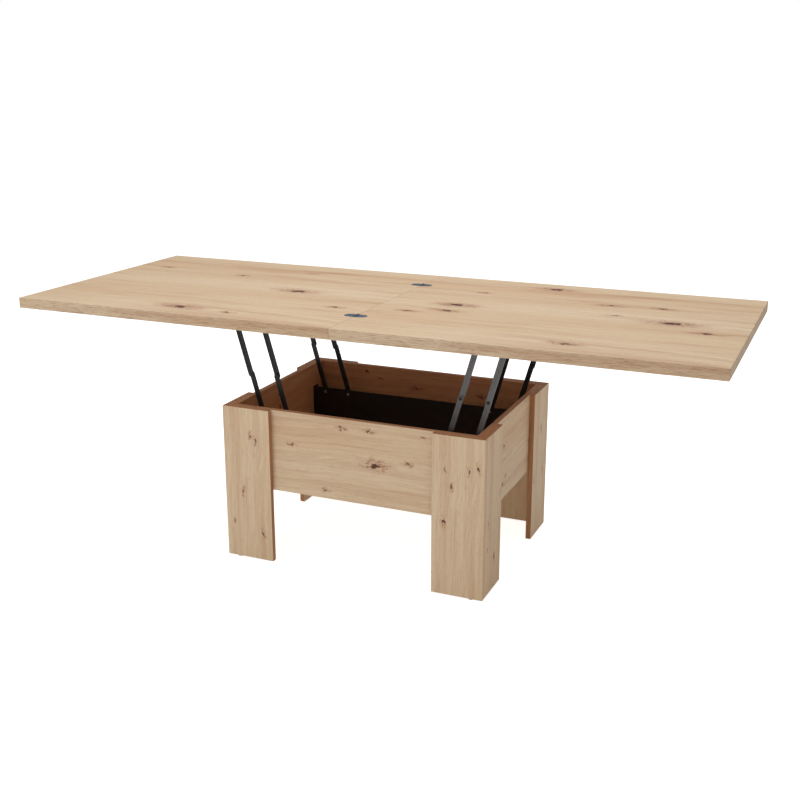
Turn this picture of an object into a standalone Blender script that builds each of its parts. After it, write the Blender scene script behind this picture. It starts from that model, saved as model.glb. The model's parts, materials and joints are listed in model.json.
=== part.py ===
"""Lift-top coffee table with a folding, sliding double top, shown raised and unfolded.

Units are metres and +Z is up. The origin lies on the floor under the middle of the table; +X runs
along the long top and -Y is the front. A box on four corner legs holds a steel lift mechanism:
four pairs of folding arms carry sliding brackets, which slide in the rails of a small frame
under the top. The left leaf slides along that frame, and the right leaf folds over onto it.
"""
import math

import bmesh
import bpy
from mathutils import Matrix, Vector

# ---- driving dimensions -------------------------------------------------------------------------

# top: two leaves of equal size, hinged at the middle
TOP_LENGTH = 2.000
TOP_WIDTH = 0.800
TOP_THICKNESS = 0.030
TOP_HEIGHT = 0.7425
SEAM_GAP = 0.0004
BOARD_EDGE_ROUND = 0.0008

# base: four aprons behind four corner legs, each leg a face board and a side board
BASE_LENGTH = 0.790
BASE_WIDTH = 0.590
BASE_HEIGHT = 0.460
BOARD_THICKNESS = 0.016
LEG_FACE_WIDTH = 0.149
LEG_SIDE_WIDTH = 0.145
APRON_HEIGHT = 0.240
FLOOR_THICKNESS = 0.016
FLOOR_RECESS = 0.002
GLIDE_RADIUS = 0.007
GLIDE_HEIGHT = 0.003
GLIDE_INSET = 0.035

# black steel side plates on the floor of the box
PLATE_THICKNESS = 0.0025
PLATE_TOP_BELOW_RIM = 0.071
PLATE_FLANGE = 0.028
BACK_PLATE_INSET = 0.063
FRONT_PLATE_INSET = 0.094

# folding arms
ARM_LEAN = math.radians(16.0)
ARM_THICKNESS = 0.005
LOWER_ARM_WIDTH = 0.0150
UPPER_ARM_WIDTH = 0.0165
ARM_EDGE_ROUND = 0.0006
GROOVE_WIDTH = 0.0045
GROOVE_DEPTH = 0.0008
GROOVE_END_GAP = 0.020
PIVOT_BELOW_RIM = 0.0855
PIVOT_INSET = 0.0435
PIVOT_SPACING = 0.081
KNEE_ABOVE_RIM = 0.067
TOP_PIVOT_DROP = 0.025
PIN_RADIUS = 0.0035

# sliding brackets, rails and cross ties of the lift frame
BRACKET_FLANGE_THICKNESS = 0.0025
BRACKET_FLANGE_DROP = 0.0033
BRACKET_REACH = 0.024
RAIL_WALL = 0.0025
RAIL_SIDE_GAP = 0.002
RAIL_WIDTH = 0.0215
RAIL_CHANNEL = 0.0039
RAIL_END_GAP = 0.011
TIE_WIDTH = 0.040
TIE_INSET = 0.102

# tracks let into the left leaf, and the sliders that hold it on the rails
SLIDE_TRAVEL = 0.500
TRACK_WIDTH = 0.018
TRACK_HEIGHT = 0.010
TRACK_WALL = 0.0015
TRACK_MOUTH = 0.009
SLIDER_LENGTH = 0.024
SLIDER_SEAM_GAP = 0.045
SLIDER_END_GAP = 0.022
TRACK_END_GAP = 0.008

# hinges let into the top surface across the seam
HINGE_EDGE_INSET = 0.165
HINGE_LENGTH = 0.066
HINGE_WIDTH = 0.034
HINGE_THICKNESS = 0.0025
HINGE_SINK = 0.0002
HINGE_AXIS_RISE = 0.0004
HINGE_POCKET_DEPTH = 0.0032
KNUCKLE_RADIUS = 0.0021
KNUCKLE_GAP = 0.0009
MIDDLE_KNUCKLE = 0.012
HINGE_PIN_RADIUS = 0.0010

# clearances and facet counts
TOUCH_GAP = 0.0003
LAYER_GAP = 0.0005
PIN_CLEARANCE = 0.0003
SLIDER_CLEARANCE = 0.0007
POCKET_CLEARANCE = 0.0004
CUT_MARGIN = 0.004
SAME_PLACE = 1e-6
ROUND_STEPS = 10
PIN_STEPS = 16
SHARP_ANGLE = math.radians(30.0)

# ---- derived sizes ------------------------------------------------------------------------------

TOP_UNDERSIDE = TOP_HEIGHT - TOP_THICKNESS
LEAF_EDGE = SEAM_GAP / 2
INNER_HALF_LENGTH = BASE_LENGTH / 2 - 2 * BOARD_THICKNESS
INNER_HALF_WIDTH = BASE_WIDTH / 2 - 2 * BOARD_THICKNESS
FLOOR_TOP = BASE_HEIGHT - APRON_HEIGHT + FLOOR_RECESS + FLOOR_THICKNESS
PLATE_TOP = BASE_HEIGHT - PLATE_TOP_BELOW_RIM

# each side frame is given by its sign along Y and the distance of its plate from the middle
FRAMES = {
    "front": (-1, INNER_HALF_WIDTH - FRONT_PLATE_INSET),
    "back": (1, INNER_HALF_WIDTH - BACK_PLATE_INSET),
}
SIDES = {"left": -1, "right": 1}

# layers of a side frame, counted outward from the plate: inner upper arms stand over the plate,
# lower arms and brackets share the next layer, and the outer upper arms take the last one
LAYER = {
    "inner": (0.0, ARM_THICKNESS),
    "middle": (ARM_THICKNESS + LAYER_GAP, 2 * ARM_THICKNESS + LAYER_GAP),
    "outer": (2 * (ARM_THICKNESS + LAYER_GAP), 3 * ARM_THICKNESS + 2 * LAYER_GAP),
}
RAIL_OFFSET = LAYER["outer"][1] + RAIL_SIDE_GAP

# pivots of the arms; outward is away from the middle along X
BASE_PIVOT_Z = BASE_HEIGHT - PIVOT_BELOW_RIM
KNEE_Z = BASE_HEIGHT + KNEE_ABOVE_RIM
TOP_PIVOT_Z = TOP_UNDERSIDE - TOP_PIVOT_DROP
LEAN_RUN = math.tan(ARM_LEAN)
PIVOT_X = {
    "outer": INNER_HALF_LENGTH - PIVOT_INSET,
    "inner": INNER_HALF_LENGTH - PIVOT_INSET - PIVOT_SPACING,
}

BRACKET_TOP = TOP_UNDERSIDE - BRACKET_FLANGE_DROP
RAIL_TOP = TOP_UNDERSIDE - TOUCH_GAP
RAIL_HALF_LENGTH = INNER_HALF_LENGTH - RAIL_END_GAP
SLIDER_X = (-SLIDER_SEAM_GAP, -(RAIL_HALF_LENGTH - SLIDER_END_GAP))
TRACK_BOTTOM = TOP_UNDERSIDE + TOUCH_GAP
HINGE_AXIS_Z = TOP_HEIGHT + HINGE_AXIS_RISE
HINGE_Y = {"front": -(TOP_WIDTH / 2 - HINGE_EDGE_INSET), "back": TOP_WIDTH / 2 - HINGE_EDGE_INSET}


# ---- materials ----------------------------------------------------------------------------------

def make_material(name, colour, roughness, metallic):
    material = bpy.data.materials.new(name)
    material.use_nodes = True
    shader = material.node_tree.nodes["Principled BSDF"]
    shader.inputs["Base Color"].default_value = (*colour, 1.0)
    shader.inputs["Roughness"].default_value = roughness
    shader.inputs["Metallic"].default_value = metallic
    return material


COLOURS = {
    "oak_top": ((0.66, 0.50, 0.33), 0.50, 0.0),
    "oak_board": ((0.50, 0.36, 0.22), 0.52, 0.0),
    "black_steel": ((0.012, 0.012, 0.013), 0.42, 0.6),
    "zinc_steel": ((0.55, 0.56, 0.58), 0.35, 1.0),
    "hinge_steel": ((0.16, 0.20, 0.26), 0.35, 1.0),
    "glide_plastic": ((0.60, 0.55, 0.47), 0.60, 0.0),
}


# ---- mesh helpers -------------------------------------------------------------------------------

def box(low, high, edge_round=0.0):
    """A block between two corners, with its edges rounded where a size is given."""
    mesh = bmesh.new()
    bmesh.ops.create_cube(mesh, size=1.0)
    size = Vector(high) - Vector(low)
    middle = (Vector(high) + Vector(low)) / 2
    bmesh.ops.scale(mesh, vec=size, verts=mesh.verts)
    bmesh.ops.translate(mesh, vec=middle, verts=mesh.verts)
    if edge_round:
        bmesh.ops.bevel(mesh, geom=mesh.edges[:], offset=edge_round, segments=2, profile=0.5,
                        affect="EDGES")
    return mesh


def prism(outline, axis, low, high, edge_round=0.0):
    """An outline extruded along an axis; its points hold the other two coordinates in order."""
    place = {
        "x": lambda a, b, along: (along, a, b),
        "y": lambda a, b, along: (a, along, b),
        "z": lambda a, b, along: (a, b, along),
    }[axis]
    mesh = bmesh.new()
    start = mesh.faces.new([mesh.verts.new(place(a, b, low)) for a, b in outline])
    grown = bmesh.ops.extrude_face_region(mesh, geom=[start])
    moved = [item for item in grown["geom"] if isinstance(item, bmesh.types.BMVert)]
    bmesh.ops.translate(mesh, vec=place(0.0, 0.0, high - low), verts=moved)
    bmesh.ops.recalc_face_normals(mesh, faces=mesh.faces)
    if edge_round:
        ends = [edge for edge in mesh.edges if is_end_edge(edge, axis, low, high)]
        bmesh.ops.bevel(mesh, geom=ends, offset=edge_round, segments=1, affect="EDGES")
    return mesh


def is_end_edge(edge, axis, low, high):
    """Whether an edge of a prism lies in one of its two end faces."""
    along = "xyz".index(axis)
    first, second = (vert.co[along] for vert in edge.verts)
    near = min(abs(first - low), abs(first - high))
    return abs(first - second) < SAME_PLACE and near < SAME_PLACE


def cylinder(centre, radius, axis, low, high, steps=PIN_STEPS):
    """A round bar along an axis; centre holds the other two coordinates."""
    turn = 2 * math.pi / steps
    outline = [
        (centre[0] + radius * math.cos(turn * step), centre[1] + radius * math.sin(turn * step))
        for step in range(steps)
    ]
    return prism(outline, axis, low, high)


def arc(centre, radius, start, end, steps=ROUND_STEPS):
    """Points on an arc about a centre, both ends included."""
    return [
        (centre[0] + radius * math.cos(start + (end - start) * step / steps),
         centre[1] + radius * math.sin(start + (end - start) * step / steps))
        for step in range(steps + 1)
    ]


def link_outline(start, end, radius):
    """A bar with round ends about two points."""
    run = math.atan2(end[1] - start[1], end[0] - start[0])
    quarter = math.pi / 2
    return (arc(end, radius, run - quarter, run + quarter)
            + arc(start, radius, run + quarter, run + 3 * quarter))


def plain_object(name, mesh):
    data = bpy.data.meshes.new(name)
    mesh.to_mesh(data)
    mesh.free()
    item = bpy.data.objects.new(name, data)
    bpy.context.scene.collection.objects.link(item)
    return item


def shape(item, tool_mesh, operation):
    """Join a tool to an object, or cut it out, and leave the plain result."""
    tool = plain_object("tool", tool_mesh)
    change = item.modifiers.new("shape", "BOOLEAN")
    change.operation = operation
    change.solver = "EXACT"
    change.object = tool
    view = bpy.context.evaluated_depsgraph_get()
    result = bpy.data.meshes.new_from_object(item.evaluated_get(view))
    item.modifiers.clear()
    result.name = item.name
    old_data = item.data
    item.data = result
    bpy.data.meshes.remove(old_data)
    bpy.data.objects.remove(tool)


def finish_part(item, origin, material):
    """Put the object's origin on a point, give it its material and shade it smooth."""
    item.data.transform(Matrix.Translation(-Vector(origin)))
    item.location = origin
    item.data.materials.clear()
    item.data.materials.append(material)
    item.data.shade_smooth()
    item.data.set_sharp_from_angle(angle=SHARP_ANGLE)
    return item


def middle_of(low, high):
    return [(a + b) / 2 for a, b in zip(low, high)]


def add_board(name, low, high, material):
    item = plain_object(name, box(low, high, BOARD_EDGE_ROUND))
    return finish_part(item, middle_of(low, high), material)


def across(sign, plate_distance, offsets):
    """A low and high Y for distances outward from a side plate's inner face."""
    ends = [sign * (plate_distance + offset) for offset in offsets]
    return min(ends), max(ends)


# ---- base ---------------------------------------------------------------------------------------

def build_legs(material):
    """Each leg is a face board, which covers the corner, and a side board behind its edge."""
    half_length = BASE_LENGTH / 2
    half_width = BASE_WIDTH / 2
    for frame_name, (row, _) in FRAMES.items():
        for side_name, side in SIDES.items():
            xs = sorted((side * half_length, side * (half_length - LEG_FACE_WIDTH)))
            ys = sorted((row * half_width, row * (half_width - BOARD_THICKNESS)))
            add_board(f"leg_face_{frame_name}_{side_name}", (xs[0], ys[0], GLIDE_HEIGHT),
                      (xs[1], ys[1], BASE_HEIGHT), material)
            xs = sorted((side * half_length, side * (half_length - BOARD_THICKNESS)))
            ys = sorted((row * (half_width - BOARD_THICKNESS - TOUCH_GAP),
                         row * (half_width - LEG_SIDE_WIDTH)))
            add_board(f"leg_side_{frame_name}_{side_name}", (xs[0], ys[0], GLIDE_HEIGHT),
                      (xs[1], ys[1], BASE_HEIGHT), material)


def build_glides(material):
    for frame_name, (row, _) in FRAMES.items():
        for side_name, side in SIDES.items():
            centre = (side * (BASE_LENGTH / 2 - GLIDE_INSET),
                      row * (BASE_WIDTH / 2 - BOARD_THICKNESS / 2))
            glide = cylinder(centre, GLIDE_RADIUS, "z", 0.0, GLIDE_HEIGHT - TOUCH_GAP)
            item = plain_object(f"glide_{frame_name}_{side_name}", glide)
            finish_part(item, (*centre, 0.0), material)


def build_aprons(material):
    """The long aprons run the whole length between the legs' side boards."""
    bottom = BASE_HEIGHT - APRON_HEIGHT
    outer_y = BASE_WIDTH / 2 - BOARD_THICKNESS - TOUCH_GAP
    outer_x = BASE_LENGTH / 2 - BOARD_THICKNESS - TOUCH_GAP
    for name, (row, _) in FRAMES.items():
        ys = sorted((row * outer_y, row * INNER_HALF_WIDTH))
        add_board(f"apron_{name}", (-outer_x, ys[0], bottom), (outer_x, ys[1], BASE_HEIGHT), material)
    end_y = INNER_HALF_WIDTH - TOUCH_GAP
    for name, side in SIDES.items():
        xs = sorted((side * outer_x, side * INNER_HALF_LENGTH))
        add_board(f"apron_{name}", (xs[0], -end_y, bottom), (xs[1], end_y, BASE_HEIGHT), material)


def build_floor(material):
    half_x = INNER_HALF_LENGTH - TOUCH_GAP
    half_y = INNER_HALF_WIDTH - TOUCH_GAP
    add_board("box_floor", (-half_x, -half_y, FLOOR_TOP - FLOOR_THICKNESS),
              (half_x, half_y, FLOOR_TOP), material)


def build_side_plate(name, row, distance, material):
    """A bent sheet: a web, two end flanges screwed to the aprons and a foot flange on the floor."""
    end = INNER_HALF_LENGTH - TOUCH_GAP
    bottom = FLOOR_TOP + TOUCH_GAP
    web = row * distance
    web_back = row * (distance + PLATE_THICKNESS)
    tip = row * (distance + PLATE_FLANGE)
    outline = [
        (-end, web), (end, web), (end, tip), (end - PLATE_THICKNESS, tip),
        (end - PLATE_THICKNESS, web_back), (PLATE_THICKNESS - end, web_back),
        (PLATE_THICKNESS - end, tip), (-end, tip),
    ]
    item = plain_object(f"side_plate_{name}", prism(outline, "z", bottom, PLATE_TOP))
    overlap = PLATE_THICKNESS / 2
    ys = across(row, distance, (overlap, PLATE_FLANGE))
    foot_end = end - overlap
    shape(item, box((-foot_end, ys[0], bottom), (foot_end, ys[1], bottom + PLATE_THICKNESS)), "UNION")
    for side in SIDES.values():
        for pivot_x in PIVOT_X.values():
            hole = cylinder((side * pivot_x, BASE_PIVOT_Z), PIN_RADIUS + PIN_CLEARANCE, "y",
                            *across(row, distance, (-CUT_MARGIN, PLATE_THICKNESS + CUT_MARGIN)))
            shape(item, hole, "DIFFERENCE")
    finish_part(item, (0.0, web, PLATE_TOP), material)


# ---- folding arms -------------------------------------------------------------------------------

def arm_pivots(side, pair):
    """Base pivot, knee and top pivot of an arm pair as (x, z)."""
    base = PIVOT_X[pair]
    knee = base + (KNEE_Z - BASE_PIVOT_Z) * LEAN_RUN
    top = base + (TOP_PIVOT_Z - BASE_PIVOT_Z) * LEAN_RUN
    return (side * base, BASE_PIVOT_Z), (side * knee, KNEE_Z), (side * top, TOP_PIVOT_Z)


def cut_groove(item, start, end, row, distance, layer):
    """Press a shallow stiffening groove into an arm's front face, between its two pivots."""
    run = Vector((end[0] - start[0], end[1] - start[1]))
    step = run.normalized() * GROOVE_END_GAP
    low = (start[0] + step[0], start[1] + step[1])
    high = (end[0] - step[0], end[1] - step[1])
    if row < 0:
        offsets = (layer[1] - GROOVE_DEPTH, layer[1] + GROOVE_DEPTH)
    else:
        offsets = (layer[0] - GROOVE_DEPTH, layer[0] + GROOVE_DEPTH)
    groove = prism(link_outline(low, high, GROOVE_WIDTH / 2), "y", *across(row, distance, offsets))
    shape(item, groove, "DIFFERENCE")


def drill_arm(item, pivot, row, distance, layer):
    """A rivet hole through an arm."""
    ends = (layer[0] - CUT_MARGIN, layer[1] + CUT_MARGIN)
    hole = cylinder(pivot, PIN_RADIUS + PIN_CLEARANCE, "y", *across(row, distance, ends))
    shape(item, hole, "DIFFERENCE")


def build_lower_arm(name, row, distance, side, pair, material):
    """A lower arm has its own pin in the side plate, and an open rivet hole at the knee."""
    base, knee, _ = arm_pivots(side, pair)
    low, high = LAYER["middle"]
    outline = link_outline(base, knee, LOWER_ARM_WIDTH / 2)
    ys = across(row, distance, (low, high))
    item = plain_object(name, prism(outline, "y", *ys, ARM_EDGE_ROUND))
    middle = (low + high) / 2
    shape(item, cylinder(base, PIN_RADIUS, "y", *across(row, distance, (0.0, middle))), "UNION")
    drill_arm(item, knee, row, distance, (low, high))
    cut_groove(item, base, knee, row, distance, (low, high))
    finish_part(item, (base[0], (ys[0] + ys[1]) / 2, base[1]), material)


def build_upper_arm(name, row, distance, side, pair, material):
    """An upper arm turns on its bracket's pin, and has an open rivet hole at the knee."""
    _, knee, top = arm_pivots(side, pair)
    ys = across(row, distance, LAYER[pair])
    outline = link_outline(knee, top, UPPER_ARM_WIDTH / 2)
    item = plain_object(name, prism(outline, "y", *ys, ARM_EDGE_ROUND))
    drill_arm(item, knee, row, distance, LAYER[pair])
    drill_arm(item, top, row, distance, LAYER[pair])
    cut_groove(item, knee, top, row, distance, LAYER[pair])
    finish_part(item, (top[0], (ys[0] + ys[1]) / 2, top[1]), material)


def build_bracket(name, row, distance, side, material):
    """A sliding bracket: a web with both top pivots, and a flange that runs in the rail."""
    radius = UPPER_ARM_WIDTH / 2
    inner = arm_pivots(1, "inner")[2]
    outer = arm_pivots(1, "outer")[2]
    quarter = math.pi / 2
    web = (arc(inner, radius, 2 * quarter, 3 * quarter) + arc(outer, radius, -quarter, 0.0)
           + [(outer[0] + radius, BRACKET_TOP), (inner[0] - radius, BRACKET_TOP)])
    outline = [(side * x, z) for x, z in web]
    low, high = LAYER["middle"]
    item = plain_object(name, prism(outline, "y", *across(row, distance, (low, high))))
    rail_back = RAIL_OFFSET + RAIL_WIDTH - RAIL_WALL
    xs = sorted((side * (outer[0] + radius), side * (inner[0] - BRACKET_REACH)))
    ys = across(row, distance, (low, rail_back - SLIDER_CLEARANCE))
    flange = box((xs[0], ys[0], BRACKET_TOP - BRACKET_FLANGE_THICKNESS), (xs[1], ys[1], BRACKET_TOP))
    shape(item, flange, "UNION")
    middle = (low + high) / 2
    for pivot, end in ((inner, LAYER["inner"][0]), (outer, LAYER["outer"][1])):
        pin = cylinder((side * pivot[0], pivot[1]), PIN_RADIUS, "y",
                       *across(row, distance, (middle, end)))
        shape(item, pin, "UNION")
    finish_part(item, (side * outer[0], row * (distance + middle), outer[1]), material)


def build_side_frame(frame_name, row, distance, material):
    build_side_plate(frame_name, row, distance, material)
    for side_name, side in SIDES.items():
        place = f"{frame_name}_{side_name}"
        for pair in PIVOT_X:
            build_lower_arm(f"arm_lower_{place}_{pair}", row, distance, side, pair, material)
            build_upper_arm(f"arm_upper_{place}_{pair}", row, distance, side, pair, material)
        build_bracket(f"bracket_{place}", row, distance, side, material)


# ---- lift frame under the top -------------------------------------------------------------------

def rail_outline(row, distance):
    """A C section, open toward the middle, as (y, z) points."""
    near = row * (distance + RAIL_OFFSET)
    far = row * (distance + RAIL_OFFSET + RAIL_WIDTH)
    far_inside = far - row * RAIL_WALL
    roof = RAIL_TOP - RAIL_WALL
    sill = roof - RAIL_CHANNEL
    return [
        (near, RAIL_TOP), (far, RAIL_TOP), (far, sill - RAIL_WALL), (near, sill - RAIL_WALL),
        (near, sill), (far_inside, sill), (far_inside, roof), (near, roof),
    ]


def build_lift_frame(material):
    for name, (row, distance) in FRAMES.items():
        rail = prism(rail_outline(row, distance), "x", -RAIL_HALF_LENGTH, RAIL_HALF_LENGTH)
        item = plain_object(f"rail_{name}", rail)
        finish_part(item, (0.0, row * (distance + RAIL_OFFSET + RAIL_WIDTH / 2), RAIL_TOP), material)
    ends = [row * (distance + RAIL_OFFSET - TOUCH_GAP) for row, distance in FRAMES.values()]
    for name, side in SIDES.items():
        centre_x = side * (RAIL_HALF_LENGTH - TIE_INSET)
        low = (centre_x - TIE_WIDTH / 2, min(ends), RAIL_TOP - RAIL_WALL)
        high = (centre_x + TIE_WIDTH / 2, max(ends), RAIL_TOP)
        item = plain_object(f"cross_tie_{name}", box(low, high))
        finish_part(item, middle_of(low, high), material)


def track_y(row, distance):
    return row * (distance + RAIL_OFFSET + RAIL_WIDTH / 2)


def build_slider(name, centre_x, centre_y, material):
    """A T-shaped slider: its neck stands on the rail and its head runs inside the track."""
    head = TRACK_WIDTH / 2 - TRACK_WALL - SLIDER_CLEARANCE
    neck = TRACK_MOUTH / 2 - SLIDER_CLEARANCE
    foot_z = RAIL_TOP + TOUCH_GAP
    shoulder_z = TRACK_BOTTOM + TRACK_WALL + SLIDER_CLEARANCE
    top_z = TRACK_BOTTOM + TRACK_HEIGHT - TRACK_WALL - SLIDER_CLEARANCE
    half = [(neck, foot_z), (neck, shoulder_z), (head, shoulder_z), (head, top_z)]
    outline = [(centre_y + y, z) for y, z in half] + [(centre_y - y, z) for y, z in reversed(half)]
    ends = (centre_x - SLIDER_LENGTH / 2, centre_x + SLIDER_LENGTH / 2)
    item = plain_object(name, prism(outline, "x", *ends))
    finish_part(item, (centre_x, centre_y, foot_z), material)


def build_sliders(material):
    for frame_name, (row, distance) in FRAMES.items():
        for place, centre_x in zip(("seam", "end"), SLIDER_X):
            name = f"top_slider_{frame_name}_{place}"
            build_slider(name, centre_x, track_y(row, distance), material)


# ---- top ----------------------------------------------------------------------------------------

def track_span():
    """Ends of the tracks along X, long enough for the whole slide of the top."""
    reach = SLIDER_LENGTH / 2 + TRACK_END_GAP
    return SLIDER_X[1] - SLIDE_TRAVEL - reach, SLIDER_X[0] + reach


def build_track(name, centre_y, material):
    half_width = TRACK_WIDTH / 2
    half_mouth = TRACK_MOUTH / 2
    inside = half_width - TRACK_WALL
    sill = TRACK_BOTTOM + TRACK_WALL
    top = TRACK_BOTTOM + TRACK_HEIGHT
    half = [(half_mouth, TRACK_BOTTOM), (half_width, TRACK_BOTTOM), (half_width, top)]
    bore = [(half_mouth, sill), (inside, sill), (inside, top - TRACK_WALL)]
    outline = (half + [(-y, z) for y, z in reversed(half)]
               + [(-y, z) for y, z in bore] + list(reversed(bore)))
    low, high = track_span()
    item = plain_object(name, prism([(centre_y + y, z) for y, z in outline], "x", low, high))
    finish_part(item, (high, centre_y, TRACK_BOTTOM), material)


def half_oblong(side, grow):
    """Outline of a hinge's half on one side of the seam, as (x, y) about the hinge's middle."""
    radius = HINGE_WIDTH / 2 + grow
    centre_x = HINGE_LENGTH / 2 - HINGE_WIDTH / 2
    quarter = math.pi / 2
    curve = arc((centre_x, 0.0), radius, -quarter, quarter)
    near = KNUCKLE_RADIUS + KNUCKLE_GAP if grow == 0.0 else -CUT_MARGIN
    return [(side * x, y) for x, y in [(near, -radius)] + curve + [(near, radius)]]


def build_hinge_plate(name, side, centre_y, material):
    """Half a hinge: a plate let into the leaf, with its own knuckles about the pin."""
    top = TOP_HEIGHT - HINGE_SINK
    bottom = top - HINGE_THICKNESS
    outline = [(x, centre_y + y) for x, y in half_oblong(side, 0.0)]
    item = plain_object(name, prism(outline, "z", bottom, top))
    side_knuckle = HINGE_WIDTH / 2 - LAYER_GAP
    if side < 0:
        spans = [(-MIDDLE_KNUCKLE / 2, MIDDLE_KNUCKLE / 2)]
    else:
        split = MIDDLE_KNUCKLE / 2 + LAYER_GAP
        spans = [(-side_knuckle, -split), (split, side_knuckle)]
    reach = side * (KNUCKLE_RADIUS + 2 * KNUCKLE_GAP)
    xs = sorted((0.0, reach))
    for low, high in spans:
        ys = (centre_y + low, centre_y + high)
        tongue_round = LAYER_GAP
        tongue = box((xs[0], ys[0] + tongue_round, bottom + tongue_round),
                     (xs[1], ys[1] - tongue_round, top - tongue_round))
        shape(item, tongue, "UNION")
        shape(item, cylinder((0.0, HINGE_AXIS_Z), KNUCKLE_RADIUS, "y", *ys), "UNION")
    hole = cylinder((0.0, HINGE_AXIS_Z), HINGE_PIN_RADIUS + PIN_CLEARANCE / 2, "y",
                    centre_y - HINGE_WIDTH, centre_y + HINGE_WIDTH)
    shape(item, hole, "DIFFERENCE")
    finish_part(item, (0.0, centre_y, HINGE_AXIS_Z), material)


def build_hinges(material, pin_material):
    half_pin = HINGE_WIDTH / 2 - LAYER_GAP
    for name, centre_y in HINGE_Y.items():
        build_hinge_plate(f"hinge_{name}_left", -1, centre_y, material)
        build_hinge_plate(f"hinge_{name}_right", 1, centre_y, material)
        pin = cylinder((0.0, HINGE_AXIS_Z), HINGE_PIN_RADIUS, "y",
                       centre_y - half_pin, centre_y + half_pin)
        item = plain_object(f"hinge_pin_{name}", pin)
        finish_part(item, (0.0, centre_y, HINGE_AXIS_Z), pin_material)


def build_leaf(name, side, material):
    """A leaf of the top, with pockets for its halves of the hinges."""
    xs = sorted((side * LEAF_EDGE, side * TOP_LENGTH / 2))
    board = box((xs[0], -TOP_WIDTH / 2, TOP_UNDERSIDE), (xs[1], TOP_WIDTH / 2, TOP_HEIGHT),
                BOARD_EDGE_ROUND)
    item = plain_object(name, board)
    for centre_y in HINGE_Y.values():
        outline = [(x, centre_y + y) for x, y in half_oblong(side, POCKET_CLEARANCE)]
        pocket = prism(outline, "z", TOP_HEIGHT - HINGE_POCKET_DEPTH, TOP_HEIGHT + CUT_MARGIN)
        shape(item, pocket, "DIFFERENCE")
    return item


def build_top(material, track_material):
    left = build_leaf("top_leaf_left", -1, material)
    low, high = track_span()
    for name, (row, distance) in FRAMES.items():
        centre_y = track_y(row, distance)
        half_pocket = TRACK_WIDTH / 2 + TOUCH_GAP
        pocket = box((low - TOUCH_GAP, centre_y - half_pocket, TOP_UNDERSIDE - CUT_MARGIN),
                     (high + TOUCH_GAP, centre_y + half_pocket, TRACK_BOTTOM + TRACK_HEIGHT + TOUCH_GAP))
        shape(left, pocket, "DIFFERENCE")
        build_track(f"track_{name}", centre_y, track_material)
    finish_part(left, (-TOP_LENGTH / 4, 0.0, TOP_UNDERSIDE), material)
    right = build_leaf("top_leaf_right", 1, material)
    finish_part(right, (0.0, 0.0, HINGE_AXIS_Z), material)


# ---- the whole table ----------------------------------------------------------------------------

def main():
    for item in list(bpy.data.objects):
        bpy.data.objects.remove(item)
    material = {name: make_material(name, *values) for name, values in COLOURS.items()}
    build_legs(material["oak_board"])
    build_glides(material["glide_plastic"])
    build_aprons(material["oak_board"])
    build_floor(material["oak_board"])
    for frame_name, (row, distance) in FRAMES.items():
        build_side_frame(frame_name, row, distance, material["black_steel"])
    build_lift_frame(material["black_steel"])
    build_sliders(material["zinc_steel"])
    build_top(material["oak_top"], material["zinc_steel"])
    build_hinges(material["hinge_steel"], material["zinc_steel"])


main()
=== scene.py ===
"""Lift-top coffee table in knotty oak board with a black steel lift mechanism."""
import json
import math
import random

import bmesh
import bpy
from mathutils import Matrix, Vector


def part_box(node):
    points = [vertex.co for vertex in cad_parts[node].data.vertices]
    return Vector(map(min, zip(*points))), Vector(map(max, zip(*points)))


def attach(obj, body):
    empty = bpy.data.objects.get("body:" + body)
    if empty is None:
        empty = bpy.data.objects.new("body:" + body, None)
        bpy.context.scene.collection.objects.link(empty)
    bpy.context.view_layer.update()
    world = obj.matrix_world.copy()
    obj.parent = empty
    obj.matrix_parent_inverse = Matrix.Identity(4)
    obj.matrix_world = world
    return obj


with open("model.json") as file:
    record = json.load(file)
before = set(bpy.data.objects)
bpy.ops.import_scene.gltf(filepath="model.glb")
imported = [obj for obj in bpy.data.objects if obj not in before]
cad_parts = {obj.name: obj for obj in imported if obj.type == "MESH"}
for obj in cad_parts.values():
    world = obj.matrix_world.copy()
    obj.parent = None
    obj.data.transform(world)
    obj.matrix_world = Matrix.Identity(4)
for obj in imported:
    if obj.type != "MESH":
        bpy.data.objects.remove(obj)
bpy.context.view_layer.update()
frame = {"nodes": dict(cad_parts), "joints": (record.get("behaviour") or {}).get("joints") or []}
NODES = frame["nodes"]

ROWS = {"front": -1, "back": 1}
SIDES = {"left": -1, "right": 1}
PAIRS = ("outer", "inner")


# ---- a bench for joining shader nodes -----------------------------------------------------------

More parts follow.
